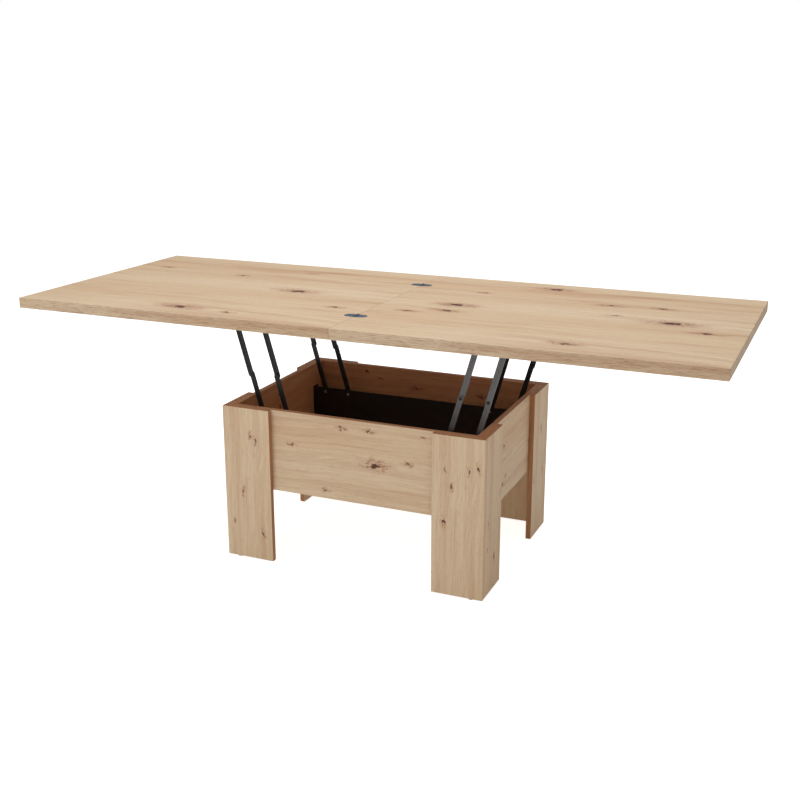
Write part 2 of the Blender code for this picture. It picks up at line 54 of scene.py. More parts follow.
class Bench:
    """Places and joins the nodes of one material or one node group."""

    def __init__(self, tree):
        self.tree = tree

    def place(self, kind, **settings):
        node = self.tree.nodes.new(kind)
        for name, value in settings.items():
            setattr(node, name, value)
        return node

    def feed(self, socket, value):
        """Join another socket, or set a plain value."""
        if isinstance(value, bpy.types.NodeSocket):
            self.tree.links.new(value, socket)
        else:
            socket.default_value = value

    def math(self, operation, first, second=0.0, third=0.0, clamp=False):
        node = self.place("ShaderNodeMath", operation=operation, use_clamp=clamp)
        for socket, value in zip(node.inputs, (first, second, third)):
            self.feed(socket, value)
        return node.outputs[0]

    def vector(self, operation, first, second=(0.0, 0.0, 0.0)):
        node = self.place("ShaderNodeVectorMath", operation=operation)
        self.feed(node.inputs[0], first)
        self.feed(node.inputs[1], second)
        return node.outputs["Value" if operation in ("LENGTH", "DOT_PRODUCT") else "Vector"]

    def combine(self, x, y, z):
        node = self.place("ShaderNodeCombineXYZ")
        for socket, value in zip(node.inputs, (x, y, z)):
            self.feed(socket, value)
        return node.outputs[0]

    def split(self, vector):
        node = self.place("ShaderNodeSeparateXYZ")
        self.feed(node.inputs[0], vector)
        return node.outputs

    def noise(self, vector, scale=1.0, detail=3.0, roughness=0.5, distortion=0.0):
        node = self.place("ShaderNodeTexNoise")
        self.feed(node.inputs["Vector"], vector)
        self.feed(node.inputs["Scale"], scale)
        self.feed(node.inputs["Detail"], detail)
        self.feed(node.inputs["Roughness"], roughness)
        self.feed(node.inputs["Distortion"], distortion)
        return node.outputs["Fac"]

    def span(self, value, low, high, to_low=0.0, to_high=1.0, smooth=False):
        """Carry a value from one range to another, held at both ends."""
        node = self.place("ShaderNodeMapRange", clamp=True)
        node.interpolation_type = "SMOOTHSTEP" if smooth else "LINEAR"
        for socket, number in zip(node.inputs[:5], (value, low, high, to_low, to_high)):
            self.feed(socket, number)
        return node.outputs[0]

    def tint(self, amount, first, second, kind="MIX"):
        """Lay the second colour over the first."""
        node = self.place("ShaderNodeMix", data_type="RGBA", blend_type=kind)
        self.feed(node.inputs["Factor"], amount)
        self.feed(node.inputs["A"], first)
        self.feed(node.inputs["B"], second)
        return node.outputs["Result"]

    def group(self, tree, **values):
        node = self.place("ShaderNodeGroup", node_tree=tree)
        for name, value in values.items():
            self.feed(node.inputs[name.replace("_", " ")], value)
        return node.outputs


def new_group(name, inputs, outputs):
    """An empty shader node group with its sockets, its bench, and its start and end nodes."""
    tree = bpy.data.node_groups.new(name, "ShaderNodeTree")
    for label, kind in inputs:
        tree.interface.new_socket(label, in_out="INPUT", socket_type=kind)
    for label, kind in outputs:
        tree.interface.new_socket(label, in_out="OUTPUT", socket_type=kind)
    bench = Bench(tree)
    start = bench.place("NodeGroupInput").outputs
    end = bench.place("NodeGroupOutput").inputs
    return tree, bench, start, end


def colour(red, green, blue):
    """A linear colour from the red, green and blue of a paint card, 0 to 255."""
    def straight(value):
        value /= 255
        return value / 12.92 if value <= 0.04045 else ((value + 0.055) / 1.055) ** 2.4
    return straight(red), straight(green), straight(blue), 1.0


OAK_PALE = colour(233, 210, 177)
OAK_STRAW = colour(222, 191, 153)
OAK_TAN = colour(200, 157, 121)
OAK_ROSY = colour(180, 122, 92)
OAK_FLECK = colour(170, 126, 92)
OAK_PORE = colour(150, 108, 76)
OAK_WORN = colour(206, 170, 132)
KNOT_BROWN = colour(118, 66, 46)
KNOT_DARK = colour(62, 34, 26)
SAWN_BROWN = colour(152, 106, 76)
SAWN_SHADE = colour(160, 118, 90)
STRIP_LIGHT = colour(190, 138, 98)
STRIP_DARK = colour(160, 108, 72)
# painted shade: the reddish darkening laid on the inward faces of the box walls and floor
PAINTED_INSIDE_SHADE = colour(228, 180, 150)
COAT_BLACK = colour(20, 20, 21)
PLATE_BLACK = colour(9, 9, 10)
# painted shade: the black that the arms' coat turns to below the rim of the box
PAINTED_SHADE_BLACK = colour(16, 16, 17)
# painted reflection: a mid grey standing in for the pale floor seen in the black coat of the
# front-right arms
PAINTED_REFLECTION_GREY = colour(112, 113, 115)
BARED_STEEL = colour(120, 120, 124)
BRIGHT_STEEL = colour(205, 208, 212)
ZINC_LIGHT = colour(206, 208, 212)
ZINC_DARK = colour(150, 153, 158)
BLUED_LIGHT = colour(128, 146, 170)
BLUED_DARK = colour(92, 108, 132)
PLASTIC_PALE = colour(206, 196, 180)
PLASTIC_SCUFFED = colour(168, 158, 142)
FLOOR_LOW = colour(250, 250, 250)
FLOOR_HIGH = colour(254, 254, 254)


# ---- shared effects -----------------------------------------------------------------------------

VECTOR = "NodeSocketVector"
VALUE = "NodeSocketFloat"
COLOUR = "NodeSocketColor"


def make_knot_group():
    """One knot: a dark heart, and a reddish cloud drawn out along the grain.

    Size is the half width of the heart across the grain. The knot runs straight through.
    """
    tree, bench, start, end = new_group(
        "oak knot", [("Vector", VECTOR), ("Centre", VECTOR), ("Size", VALUE), ("Ragged", VECTOR)],
        [("Heart", VALUE), ("Cloud", VALUE)])
    away = bench.vector("SUBTRACT", start["Vector"], start["Centre"])
    away = bench.vector("ADD", away, start["Ragged"])
    size = start["Size"]
    x, y, _ = bench.split(away)
    flat = bench.combine(bench.math("MULTIPLY", x, 0.62), y, 0.0)
    near = bench.math("DIVIDE", bench.vector("LENGTH", flat), size)
    drawn = bench.combine(bench.math("MULTIPLY", x, 0.20), bench.math("MULTIPLY", y, 0.55), 0.0)
    wide = bench.math("DIVIDE", bench.vector("LENGTH", drawn), size)
    heart = bench.span(near, 0.45, 1.05, 1.0, 0.0, smooth=True)
    cloud = bench.span(wide, 0.35, 1.6, 1.0, 0.0, smooth=True)
    bench.feed(end["Heart"], heart)
    bench.feed(end["Cloud"], cloud)
    return tree


def make_oak_group():
    """Knotty oak decor. The vector runs along the grain in X, across it in Y, and into it in Z."""
    tree, bench, start, end = new_group(
        "oak decor",
        [("Vector", VECTOR), ("Heart", VALUE), ("Cloud", VALUE), ("Contrast", VALUE)],
        [("Color", COLOUR), ("Roughness", VALUE), ("Height", VALUE)])
    place = start["Vector"]
    cloud = start["Cloud"]
    heart = start["Heart"]
    sway = bench.noise(bench.vector("MULTIPLY", place, (2.2, 3.0, 3.0)), detail=1.5)
    bulge = bench.math("MULTIPLY", cloud, 0.012)
    shift = bench.math("ADD", bench.math("MULTIPLY", sway, 0.05), bulge)
    grain_place = bench.vector("ADD", place, bench.combine(0.0, shift, shift))

    tone = bench.noise(bench.vector("MULTIPLY", grain_place, (0.55, 7.0, 7.0)), detail=2.0)
    band = bench.noise(bench.vector("MULTIPLY", grain_place, (1.5, 30.0, 30.0)), detail=4.0,
                       roughness=0.62, distortion=0.4)
    red = bench.noise(bench.vector("MULTIPLY", grain_place, (1.3, 13.0, 11.0)), detail=3.0,
                      roughness=0.6, distortion=0.8)
    line = bench.noise(bench.vector("MULTIPLY", grain_place, (5.0, 210.0, 210.0)), detail=3.0,
                       roughness=0.7)
    pore = bench.noise(bench.vector("MULTIPLY", grain_place, (38.0, 1100.0, 1100.0)), detail=1.0)
    dash = bench.noise(bench.vector("MULTIPLY", grain_place, (14.0, 75.0, 75.0)), detail=3.0,
                       roughness=0.75)
    ring_place = bench.vector("MULTIPLY", grain_place, (0.10, 1.0, 1.0))
    rings = bench.place("ShaderNodeTexWave", wave_type="BANDS", bands_direction="Y",
                        wave_profile="SAW")
    bench.feed(rings.inputs["Vector"], ring_place)
    bench.feed(rings.inputs["Scale"], 16.0)
    bench.feed(rings.inputs["Distortion"], 9.0)
    bench.feed(rings.inputs["Detail"], 2.0)
    bench.feed(rings.inputs["Detail Scale"], 1.2)
    bench.feed(rings.inputs["Detail Roughness"], 0.55)

    wood = bench.tint(bench.span(tone, 0.35, 0.66), OAK_STRAW, OAK_PALE)
    wood = bench.tint(bench.math("MULTIPLY", bench.span(band, 0.50, 0.72), 0.75), wood, OAK_TAN)
    wood = bench.tint(bench.math("MULTIPLY", bench.span(rings.outputs["Fac"], 0.55, 1.0), 0.22),
                      wood, OAK_TAN)
    wood = bench.tint(bench.math("MULTIPLY", bench.span(red, 0.55, 0.80), 0.46), wood, OAK_ROSY)
    contrast = start["Contrast"]
    fine = bench.math("MULTIPLY", bench.span(line, 0.48, 0.72), contrast)
    wood = bench.tint(fine, wood, OAK_TAN)
    flecks = bench.math("MULTIPLY", bench.span(dash, 0.64, 0.80), contrast)
    wood = bench.tint(flecks, wood, OAK_FLECK)
    pores = bench.math("MULTIPLY", bench.span(pore, 0.60, 0.70), 0.30)
    wood = bench.tint(pores, wood, OAK_PORE)

    pins = bench.place("ShaderNodeTexVoronoi", feature="F1")
    bench.feed(pins.inputs["Vector"], bench.vector("MULTIPLY", place, (5.5, 8.5, 8.5)))
    bench.feed(pins.inputs["Scale"], 1.0)
    chosen = bench.math("GREATER_THAN", bench.split(pins.outputs["Color"])[0], 0.80)
    pin_size = bench.math("MULTIPLY", bench.split(pins.outputs["Color"])[1], 0.022)
    pin_edge = bench.math("DIVIDE", pins.outputs["Distance"], bench.math("ADD", pin_size, 0.004))
    pin = bench.math("MULTIPLY", bench.span(pin_edge, 0.5, 1.2, 1.0, 0.0), chosen)

    speckle = bench.noise(bench.vector("MULTIPLY", grain_place, (60.0, 260.0, 260.0)), detail=2.0)
    stain = bench.math("MULTIPLY", cloud, bench.span(speckle, 0.44, 0.60, 0.20, 1.0))
    wood = bench.tint(bench.math("MULTIPLY", stain, 0.80), wood, OAK_ROSY)
    crack = bench.noise(bench.vector("MULTIPLY", place, (48.0, 85.0, 85.0)), detail=3.0,
                        distortion=1.0)
    split_line = bench.span(bench.math("ABSOLUTE", bench.math("SUBTRACT", crack, 0.5)),
                            0.008, 0.040, 1.0, 0.0)
    split_line = bench.math("MULTIPLY", split_line, bench.span(cloud, 0.45, 0.9))
    wood = bench.tint(bench.math("MULTIPLY", heart, 0.88), wood, KNOT_BROWN)
    core = bench.math("MULTIPLY", bench.math("POWER", heart, 2.0), 0.75)
    wood = bench.tint(core, wood, KNOT_DARK)
    wood = bench.tint(bench.math("MULTIPLY", split_line, 0.62), wood, KNOT_BROWN)
    wood = bench.tint(bench.math("MULTIPLY", pin, 0.75), wood, KNOT_BROWN)

    dull = bench.math("ADD", 0.46, bench.math("MULTIPLY", line, 0.16))
    dull = bench.math("ADD", dull, bench.math("MULTIPLY", heart, 0.15))
    raised = bench.math("MULTIPLY", line, 0.5)
    raised = bench.math("ADD", raised, bench.math("MULTIPLY", pores, -1.2))
    raised = bench.math("ADD", raised, bench.math("MULTIPLY", band, 0.35))
    raised = bench.math("SUBTRACT", raised, bench.math("MULTIPLY", heart, 0.6))
    raised = bench.math("SUBTRACT", raised, bench.math("MULTIPLY", split_line, 0.5))
    bench.feed(end["Color"], wood)
    bench.feed(end["Roughness"], dull)
    bench.feed(end["Height"], raised)
    return tree


def make_corner_group():
    """How far a point lies on a rounded edge, with wear that comes and goes along it."""
    tree, bench, start, end = new_group(
        "edge wear", [("Vector", VECTOR), ("Normal", VECTOR), ("Patches", VALUE)],
        [("Wear", VALUE)])
    x, y, z = bench.split(bench.vector("ABSOLUTE", start["Normal"]))
    flatness = bench.math("MAXIMUM", bench.math("MAXIMUM", x, y), z)
    rounded = bench.span(flatness, 0.80, 0.97, 1.0, 0.0)
    patch = bench.noise(start["Vector"], scale=start["Patches"], detail=4.0, roughness=0.65)
    bench.feed(end["Wear"], bench.math("MULTIPLY", rounded, bench.span(patch, 0.42, 0.62)))
    return tree


def make_brushed_group():
    """Fine drawn lines and cloudy spots for bare or plated steel; lines run along X."""
    tree, bench, start, end = new_group(
        "drawn steel", [("Vector", VECTOR), ("Lines", VALUE)],
        [("Line", VALUE), ("Cloud", VALUE)])
    place = bench.vector("MULTIPLY", start["Vector"], (40.0, 1500.0, 1500.0))
    line = bench.noise(place, scale=start["Lines"], detail=2.0, roughness=0.6)
    cloud = bench.noise(start["Vector"], scale=190.0, detail=3.0, roughness=0.6)
    bench.feed(end["Line"], line)
    bench.feed(end["Cloud"], cloud)
    return tree


KNOT = make_knot_group()
OAK = make_oak_group()
EDGE_WEAR = make_corner_group()
DRAWN_STEEL = make_brushed_group()


# ---- finishes -----------------------------------------------------------------------------------

def new_finish(name):
    """A material with its bench, its shader and the object's own place and normal."""
    finish = bpy.data.materials.new(name)
    finish.use_nodes = True
    bench = Bench(finish.node_tree)
    shader = finish.node_tree.nodes["Principled BSDF"]
    where = bench.place("ShaderNodeTexCoord").outputs
    return finish, bench, shader, where["Object"], where["Normal"]


def add_relief(bench, shader, height, strength, depth):
    """Give the surface a fine relief from a height value; depth is in metres."""
    bump = bench.place("ShaderNodeBump")
    bench.feed(bump.inputs["Height"], height)
    bump.inputs["Strength"].default_value = strength
    bump.inputs["Distance"].default_value = depth
    bench.feed(shader.inputs["Normal"], bump.outputs["Normal"])


def oak_finish(name, grain, corner, knots, edging, contrast):
    """Knotty oak decor on a board.

    grain gives the axes along, across and into the grain; corner is where the board's pattern
    starts; knots are (along, across, half width of the heart) from that corner, in metres, and
    run through the board. edging says how the narrow faces look: "sawn" carries coarse oak, and
    "banded" an orange-brown strip, on one side only where corner is given; a further entry gives
    the way that a box wall looks inward, and faces that look that way get painted shade.
    """
    finish, bench, shader, place, normal = new_finish(name)
    parts = bench.split(bench.vector("SUBTRACT", place, corner))
    along, across, into = ("xyz".index(axis) for axis in grain)
    board = bench.combine(parts[along], parts[across], parts[into])
    heart, cloud = gather_knots(bench, board, knots)
    shifted = bench.vector("ADD", board, PATTERN_SHIFT)
    oak = bench.group(OAK, Vector=shifted, Heart=heart, Cloud=cloud, Contrast=contrast)
    if edging["kind"] == "sawn":
        wood = saw_narrow_faces(bench, oak["Color"], board, normal)
    else:
        wood = band_narrow_faces(bench, oak["Color"], board, normal, edging)
    wear = bench.group(EDGE_WEAR, Vector=place, Normal=normal, Patches=22.0)["Wear"]
    wood = bench.tint(bench.math("MULTIPLY", wear, 0.30), wood, OAK_WORN)
    bench.feed(shader.inputs["Base Color"], wood)
    bench.feed(shader.inputs["Roughness"], oak["Roughness"])
    add_relief(bench, shader, oak["Height"], 0.25, 0.0006)
    shader.inputs["Specular IOR Level"].default_value = 0.45
    return finish


PATTERN_SHIFT = (2.3, 1.7, 0.4)
RAGGED_EDGE = (0.034, 0.028, 0.0)


def gather_knots(bench, board, knots):
    """The hearts and clouds of all the knots of a board, with ragged edges."""
    drift = bench.place("ShaderNodeTexNoise")
    bench.feed(drift.inputs["Vector"], board)
    bench.feed(drift.inputs["Scale"], 75.0)
    bench.feed(drift.inputs["Detail"], 3.0)
    drifting = bench.vector("SUBTRACT", drift.outputs["Color"], (0.5, 0.5, 0.5))
    ragged = bench.vector("MULTIPLY", drifting, RAGGED_EDGE)
    heart = 0.0
    cloud = 0.0
    for knot_along, knot_across, knot_size in knots:
        made = bench.group(KNOT, Vector=board, Centre=(knot_along, knot_across, 0.0),
                           Size=knot_size, Ragged=ragged)
        heart = bench.math("MAXIMUM", heart, made["Heart"])
        cloud = bench.math("MAXIMUM", cloud, made["Cloud"])
    return heart, cloud


def saw_narrow_faces(bench, wood, board, normal):
    """Coarse sawn oak on the upright faces of a leaf."""
    upright = bench.math("ABSOLUTE", bench.split(normal)[2])
    narrow = bench.span(upright, 0.5, 0.8, 1.0, 0.0)
    saw = bench.noise(bench.vector("MULTIPLY", board, (22.0, 80.0, 380.0)), detail=5.0,
                      roughness=0.72, distortion=0.8)
    cut = bench.math("MULTIPLY", bench.span(saw, 0.50, 0.66), narrow)
    wood = bench.tint(bench.math("MULTIPLY", cut, 0.85), wood, SAWN_BROWN)
    return bench.tint(bench.math("MULTIPLY", narrow, 0.10), wood, SAWN_SHADE)


def band_narrow_faces(bench, wood, board, normal, edging):
    """An orange-brown strip on the narrow faces of a board, and painted shade where it looks into the
    box.
    """
    signed = bench.split(normal)
    looks = bench.math("ABSOLUTE", signed["xyz".index(edging["face"])])
    banding = bench.span(looks, 0.55, 0.75, 1.0, 0.0)
    if "corner" in edging:
        axis, way = edging["corner"]
        turned_out = bench.math("MULTIPLY", signed["xyz".index(axis)], way)
        banding = bench.math("MULTIPLY", banding, bench.span(turned_out, 0.3, 0.6, 1.0, 0.0))
    streak = bench.noise(bench.vector("MULTIPLY", board, (5.0, 90.0, 90.0)), detail=3.0,
                         roughness=0.6)
    strip = bench.tint(bench.span(streak, 0.35, 0.7), STRIP_LIGHT, STRIP_DARK)
    wood = bench.tint(banding, wood, strip)
    # painted shade on the faces that look into the box
    if "inside" in edging:
        axis, way = edging["inside"]
        inward = bench.math("MULTIPLY", signed["xyz".index(axis)], way)
        shade = bench.math("MULTIPLY", bench.span(inward, 0.5, 0.8), 0.85)
        wood = bench.tint(shade, wood, PAINTED_INSIDE_SHADE, kind="MULTIPLY")
    return wood


# how far the painted shade below the box rim fades in, in metres
PAINTED_SHADE_BLEND = 0.035


def black_steel_finish(name, base, sheen_rough, painted_shade_below=None):
    """Powder coat with fine orange peel, a little dust, and bare metal on worn edges.

    Where a height is given, the coat turns black under it: painted shade, where the rim of the box
    shades the arms.
    """
    finish, bench, shader, place, normal = new_finish(name)
    peel = bench.noise(place, scale=1400.0, detail=2.0)
    dust = bench.noise(place, scale=26.0, detail=5.0, roughness=0.62)
    wear = bench.group(EDGE_WEAR, Vector=place, Normal=normal, Patches=60.0)["Wear"]
    paint = bench.tint(bench.span(dust, 0.45, 0.80, 0.0, 0.35), base,
                       tuple(value * 1.9 + 0.004 for value in base[:3]) + (1.0,))
    # painted shade: black under the given height
    if painted_shade_below is not None:
        level = bench.split(place)[2]
        low = bench.span(level, painted_shade_below, painted_shade_below + PAINTED_SHADE_BLEND, 1.0, 0.0, smooth=True)
        paint = bench.tint(low, paint, PAINTED_SHADE_BLACK)
    paint = bench.tint(bench.math("MULTIPLY", wear, 0.25), paint, BARED_STEEL)
    bench.feed(shader.inputs["Base Color"], paint)
    bench.feed(shader.inputs["Metallic"], bench.math("MULTIPLY", wear, 0.5))
    bench.feed(shader.inputs["Roughness"], bench.span(dust, 0.3, 0.8, sheen_rough, sheen_rough + 0.14))
    add_relief(bench, shader, peel, 0.12, 0.0003)
    shader.inputs["Specular IOR Level"].default_value = 0.5
    return finish


def bare_steel_finish(name, light, dark, rough, lines):
    """Plated or brushed steel with drawn lines and cloudy spots."""
    finish, bench, shader, place, normal = new_finish(name)
    steel = bench.group(DRAWN_STEEL, Vector=place, Lines=lines)
    wear = bench.group(EDGE_WEAR, Vector=place, Normal=normal, Patches=80.0)["Wear"]
    metal = bench.tint(bench.span(steel["Cloud"], 0.38, 0.66), light, dark)
    metal = bench.tint(bench.math("MULTIPLY", steel["Line"], 0.3), metal, dark)
    metal = bench.tint(bench.math("MULTIPLY", wear, 0.5), metal, BRIGHT_STEEL)
    bench.feed(shader.inputs["Base Color"], metal)
    shader.inputs["Metallic"].default_value = 1.0
    bench.feed(shader.inputs["Roughness"],
               bench.math("ADD", rough, bench.math("MULTIPLY", steel["Line"], 0.14)))
    add_relief(bench, shader, steel["Line"], 0.15, 0.0002)
    return finish


def plastic_finish(name):
    """Moulded pale plastic with a fine pebbled grain and scuffs."""
    finish, bench, shader, place, _ = new_finish(name)
    pebble = bench.noise(place, scale=900.0, detail=2.0)
    scuff = bench.noise(place, scale=120.0, detail=4.0, roughness=0.7)
    paint = bench.tint(bench.span(scuff, 0.55, 0.75), PLASTIC_PALE, PLASTIC_SCUFFED)
    bench.feed(shader.inputs["Base Color"], paint)
    bench.feed(shader.inputs["Roughness"], bench.span(scuff, 0.3, 0.7, 0.5, 0.75))
    add_relief(bench, shader, pebble, 0.3, 0.0003)
    return finish


# ---- wood ---------------------------------------------------------------------------------------

# the large knots, as tenths of a board along the grain and across it, and the half width of the
# heart in metres
LEFT_LEAF_KNOTS = [(5, 1, 0.015), (7, 5, 0.015), (9, 3, 0.007)]
RIGHT_LEAF_KNOTS = [
    (2, 5, 0.015), (2, 4, 0.010), (4, 9, 0.015), (8, 5, 0.018), (9, 4, 0.010), (6, 1, 0.010),
    (6, 7, 0.009),
]
LONG_APRON_KNOTS = [(6, 5, 0.010)]

# how many small knots each kind of board has besides, and the least and greatest half width of
# the heart in metres
SMALL_KNOTS = {
    "top_leaf": (4, 0.004, 0.008),
    "leg_face": (5, 0.0020, 0.0045),
    "leg_side": (4, 0.0020, 0.0040),
    "apron": (6, 0.0022, 0.0050),
    "box_floor": (4, 0.006, 0.010),
}
KNOT_MARGIN = 0.08


def scatter_knots(node, length, width):
    """Small knots anywhere on a board but its margins, always the same on the same board."""
    chance = random.Random(node)
    kind = next(kind for kind in SMALL_KNOTS if node.startswith(kind))
    count, smallest, largest = SMALL_KNOTS[kind]
    return [
        (chance.uniform(KNOT_MARGIN, 1.0 - KNOT_MARGIN) * length,
         chance.uniform(KNOT_MARGIN, 1.0 - KNOT_MARGIN) * width,
         chance.uniform(smallest, largest))
        for _ in range(count)
    ]


def coat(node, finish):
    """Give every material slot of a node one finish."""
    for slot in NODES[node].material_slots:
        slot.material = finish


LEAF_CONTRAST = 0.28
BOARD_CONTRAST = 0.40


def coat_board(node, grain, edging, large_knots=(), contrast=BOARD_CONTRAST):
    """Coat a board with oak that has the given large knots and the small ones of its kind."""
    low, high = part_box(node)
    length, width = (high["xyz".index(axis)] - low["xyz".index(axis)] for axis in grain[:2])
    knots = [(along / 10 * length, across / 10 * width, half) for along, across, half in large_knots]
    knots += scatter_knots(node, length, width)
    coat(node, oak_finish(f"oak {node}", grain, tuple(low), knots, edging, contrast))


def coat_wood():
    """Coat the leaves, the aprons, the legs and the floor of the box."""
    sawn = {"kind": "sawn"}
    coat_board("top_leaf_left", "xyz", sawn, LEFT_LEAF_KNOTS, LEAF_CONTRAST)
    coat_board("top_leaf_right", "xyz", sawn, RIGHT_LEAF_KNOTS, LEAF_CONTRAST)
    for row, row_sign in ROWS.items():
        coat_board(f"apron_{row}", "xzy", {"kind": "banded", "face": "y", "inside": ("y", -row_sign)},
                   LONG_APRON_KNOTS)
        for side, side_sign in SIDES.items():
            coat_board(f"leg_face_{row}_{side}", "zxy",
                       {"kind": "banded", "face": "y", "corner": ("x", side_sign)})
            coat_board(f"leg_side_{row}_{side}", "zyx", {"kind": "banded", "face": "x"})
    for side, side_sign in SIDES.items():
        coat_board(f"apron_{side}", "yzx",
                   {"kind": "banded", "face": "x", "inside": ("x", -side_sign)})
    coat_board("box_floor", "xyz", {"kind": "banded", "face": "z", "inside": ("z", 1)})


# ---- metal and plastic --------------------------------------------------------------------------

BLACK_STEEL = black_steel_finish("black powder coat", COAT_BLACK, 0.34)
PLATE_STEEL = black_steel_finish("black plate coat", PLATE_BLACK, 0.52)
# height under which the front-right arms get painted shade from the box rim
PAINTED_SHADE_LEVEL = 0.422
# the four arms at the front right: their grey is painted reflection of the pale floor on a black coat
REFLECTION_PAINTED_STEEL = black_steel_finish("black coat with painted reflection and shade", PAINTED_REFLECTION_GREY, 0.40, PAINTED_SHADE_LEVEL)
ZINC = bare_steel_finish("bright zinc plate", ZINC_LIGHT, ZINC_DARK, 0.22, 1.0)
HINGE_STEEL = bare_steel_finish("blued hinge steel", BLUED_LIGHT, BLUED_DARK, 0.34, 1.4)
PLASTIC = plastic_finish("moulded pale plastic")


def coat_metal():
    """Coat steel and plastic; the four arms at the front right get a grey coat whose lighter tone is
    painted reflection.
    """
    for node in NODES:
        if node.startswith(("arm_", "bracket_", "rail_", "cross_tie_")):
            coat(node, BLACK_STEEL)
        if node.startswith("side_plate_"):
            coat(node, PLATE_STEEL)
        if node.startswith("hinge_"):
            coat(node, HINGE_STEEL)
        if node.startswith(("track_", "top_slider_")):
            coat(node, ZINC)
        if node.startswith("glide_"):
            coat(node, PLASTIC)
    for pair in PAIRS:
        coat(f"arm_upper_front_right_{pair}", REFLECTION_PAINTED_STEEL)
        coat(f"arm_lower_front_right_{pair}", REFLECTION_PAINTED_STEEL)


# ---- small fittings -----------------------------------------------------------------------------

SHARP_ANGLE = math.radians(38.0)


def new_piece(name, mesh, finish, body):
    """A fitting with its finish, which rides a body and takes a slot."""
    data = bpy.data.meshes.new(name)
    mesh.to_mesh(data)
    mesh.free()
    data.materials.append(finish)
    data.shade_smooth()
    data.set_sharp_from_angle(angle=SHARP_ANGLE)
    piece = bpy.data.objects.new(name, data)
    bpy.context.scene.collection.objects.link(piece)
    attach(piece, body)
    return piece


def turned(profile, steps=28):
    """A closed turned body about Z; the profile runs from the axis out and back to the axis."""
    mesh = bmesh.new()
    rings = []
    for radius, height in profile:
        if radius == 0.0:
            rings.append([mesh.verts.new((0.0, 0.0, height))])
            continue
        rings.append([
            mesh.verts.new((radius * math.cos(2 * math.pi * step / steps),
                            radius * math.sin(2 * math.pi * step / steps), height))
            for step in range(steps)
        ])
    for low, high in zip(rings, rings[1:]):
        for step in range(steps):
            after = (step + 1) % steps
            if len(low) == 1:
                mesh.faces.new((low[0], high[step], high[after]))
            elif len(high) == 1:
                mesh.faces.new((low[step], high[0], low[after]))
            else:
                mesh.faces.new((low[step], high[step], high[after], low[after]))
    bmesh.ops.recalc_face_normals(mesh, faces=mesh.faces)
    return mesh


def face_along_y(mesh, centre, sign):
    """Turn a body made about Z so that it points along Y, and put it on a point."""
    turn = Matrix.Rotation(-sign * math.pi / 2, 4, "X")
    mesh.transform(Matrix.Translation(Vector(centre)) @ turn)
    return mesh


# the straight rim of a rivet head, as a share of its height
RIM_SHARE = 0.15


def dome(radius, height, steps=6):
    """The profile of a round rivet head, from its crown down to its seat."""
    points = [(0.0, height)]
    for step in range(1, steps):
        angle = math.pi / 2 * step / steps
        rise = RIM_SHARE + (1.0 - RIM_SHARE) * math.cos(angle)
        points.append((radius * math.sin(angle), height * rise))
    points += [(radius, height * RIM_SHARE), (radius, 0.0), (0.0, 0.0)]
    return points


def knee_rivet(radius, height, reach, flush):
    """A rivet with a round head on its far end, and a flush or a round near end."""
    crown = [(r, h + reach) for r, h in dome(radius, height)][:-1]
    shank = radius * 0.6
    if flush:
        foot = [(shank, 0.0004), (shank - 0.0004, 0.0), (0.0, 0.0)]
    else:
        foot = [(shank, 0.0)] + [(r, -h) for r, h in reversed(dome(radius, height))][1:]
    return turned(crown + [(shank, reach)] + foot)


def cross_screw(radius, height):
    """A low screw head with a cross recess."""
    mesh = turned([(0.0, height), (radius * 0.14, height), (radius * 0.30, height),
                   (radius * 0.46, height), (radius * 0.60, height), (radius * 0.66, height),
                   (radius * 0.86, height * 0.9), (radius, height * 0.5), (radius, 0.0),
                   (0.0, 0.0)], steps=32)
    for vert in mesh.verts:
        reach = math.hypot(vert.co.x, vert.co.y)
        slim = min(abs(vert.co.x), abs(vert.co.y))
        if vert.co.z > height * 0.95 and reach < radius * 0.62 and slim < radius * 0.13:
            vert.co.z -= height * 0.7
    return mesh


def joint_places():
    """Where each pivot of the arms lies, from the record's joints."""
    return {joint["name"]: Vector(joint["pos_m"]) for joint in frame["joints"] if "pos_m" in joint}


BASE_RIVET = (0.0046, 0.0017)
TOP_RIVET = (0.0050, 0.0013)
KNEE_RIVET_RADIUS = 0.0050
WIDE_KNEE_RIVET_RADIUS = 0.0062
KNEE_RIVET_HEIGHT = 0.0011


def add_arm_rivets():
    """Bright rivets at the base pivots and at the brackets, and black ones at the knees."""
    pivots = joint_places()
    for row, row_sign in ROWS.items():
        for side in SIDES:
            for pair in PAIRS:
                key = f"{row}_{side}_{pair}"
                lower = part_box(f"arm_lower_{key}")
                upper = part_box(f"arm_upper_{key}")
                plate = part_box(f"side_plate_{row}")
                web = plate[0][1] if row_sign > 0 else plate[1][1]
                base = pivots[f"base_pivot_{key}"]
                head = face_along_y(turned(dome(*BASE_RIVET)), (base.x, web, base.z), -row_sign)
                new_piece(f"base_rivet_{key}", head, ZINC, f"lower_{key}")

                knee = knee_of(lower, upper, base, pivots[f"top_pivot_{key}"])
                ys = knee_span(lower, upper, row_sign, pair)
                radius = KNEE_RIVET_RADIUS
                if (row, side) == ("front", "left"):
                    radius = WIDE_KNEE_RIVET_RADIUS
                reach = abs(ys[1] - ys[0])
                body = knee_rivet(radius, KNEE_RIVET_HEIGHT, reach, pair == "outer")
                body = face_along_y(body, (knee.x, ys[0], knee.z), row_sign)
                new_piece(f"knee_rivet_{key}", body, BLACK_STEEL, f"lower_{key}")

                top = pivots[f"top_pivot_{key}"]
                seat = upper[1][1] if (row_sign > 0) == (pair == "outer") else upper[0][1]
                way = row_sign if pair == "outer" else -row_sign
                head = face_along_y(turned(dome(*TOP_RIVET)), (top.x, seat, top.z), way)
                new_piece(f"top_rivet_{key}", head, ZINC, f"bracket_{row}_{side}")


